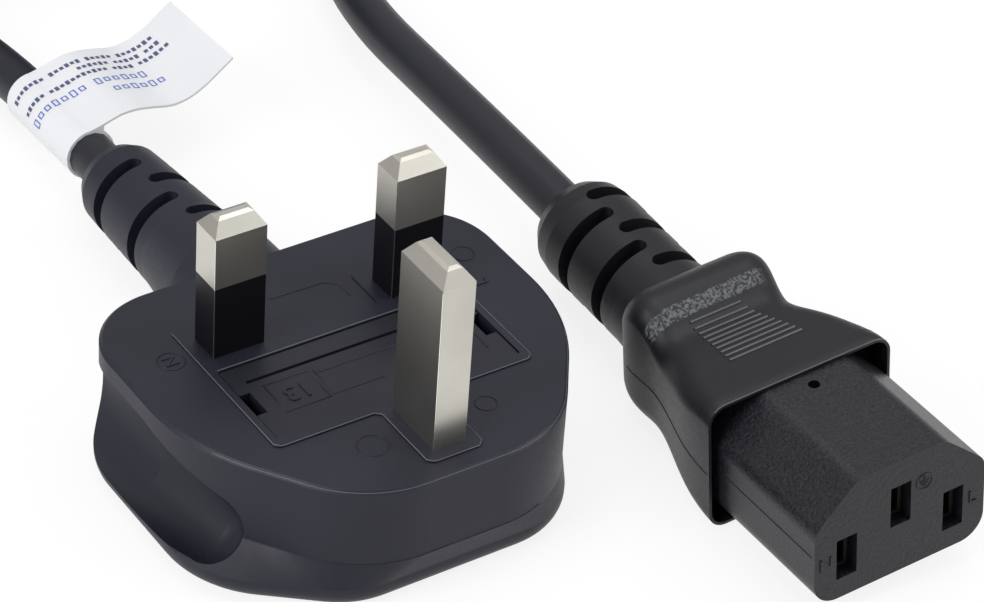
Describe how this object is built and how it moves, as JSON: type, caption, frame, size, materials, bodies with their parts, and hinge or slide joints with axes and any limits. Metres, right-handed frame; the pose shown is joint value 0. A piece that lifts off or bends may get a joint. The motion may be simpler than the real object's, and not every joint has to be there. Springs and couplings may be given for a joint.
{
  "type": "uk three pin plug",
  "caption": "Moulded UK three pin plug with sleeved pins, a pull-out fuse carrier, its round cord and an appliance connector.",
  "frame": {"origin": "on the plug's flat back, straight below the middle of the line and neutral pins", "axes": "+Z along the pins, +Y towards the cord, +X towards the line pin"},
  "size_m": [0.092, 0.2264, 0.0378],
  "materials": {
    "plug_pvc": "matte",
    "bridge_plastic": "matte",
    "pin_nickel": "satin",
    "sleeve_plastic": "satin",
    "brass": "satin",
    "core_brown": "satin",
    "core_blue": "satin",
    "core_green_yellow": "satin",
    "ceramic": "matte",
    "cap_nickel": "satin",
    "fuse_wire": "satin",
    "carrier_plastic": "matte",
    "cord_pvc": "matte",
    "label_film": "matte",
    "connector_pvc": "matte",
    "insert_plastic": "matte"
  },
  "bodies": {
    "root": {"plug_body": "plug_pvc", "pin_bridge": "bridge_plastic", "earth_pin": "pin_nickel", "line_pin": "pin_nickel", "neutral_pin": "pin_nickel", "line_pin_sleeve": "sleeve_plastic", "neutral_pin_sleeve": "sleeve_plastic", "fuse_clip_pin_side": "brass", "fuse_clip_cord_side": "brass", "line_crimp": "brass", "neutral_crimp": "brass", "earth_crimp": "brass", "line_core": "core_brown", "neutral_core": "core_blue", "earth_core": "core_green_yellow", "cord_plug_side": "cord_pvc", "cord_coil": "cord_pvc", "cord_connector_side": "cord_pvc", "cord_label": "label_film", "connector_body": "connector_pvc", "connector_insert": "insert_plastic", "connector_contact_neutral": "brass", "connector_contact_earth": "brass", "connector_contact_line": "brass", "connector_core_neutral": "core_blue", "connector_core_earth": "core_green_yellow", "connector_core_line": "core_brown"},
    "fuse_drawer": {"fuse_carrier": "carrier_plastic", "fuse_tube": "ceramic", "fuse_cap_pin_side": "cap_nickel", "fuse_cap_cord_side": "cap_nickel", "fuse_wire": "fuse_wire"}
  },
  "joints": [
    {"name": "fuse_drawer_slide", "type": "slide", "parent": "root", "child": "fuse_drawer", "axis": [0, 0, 1], "range_m": [0, 0.01]}
  ]
}
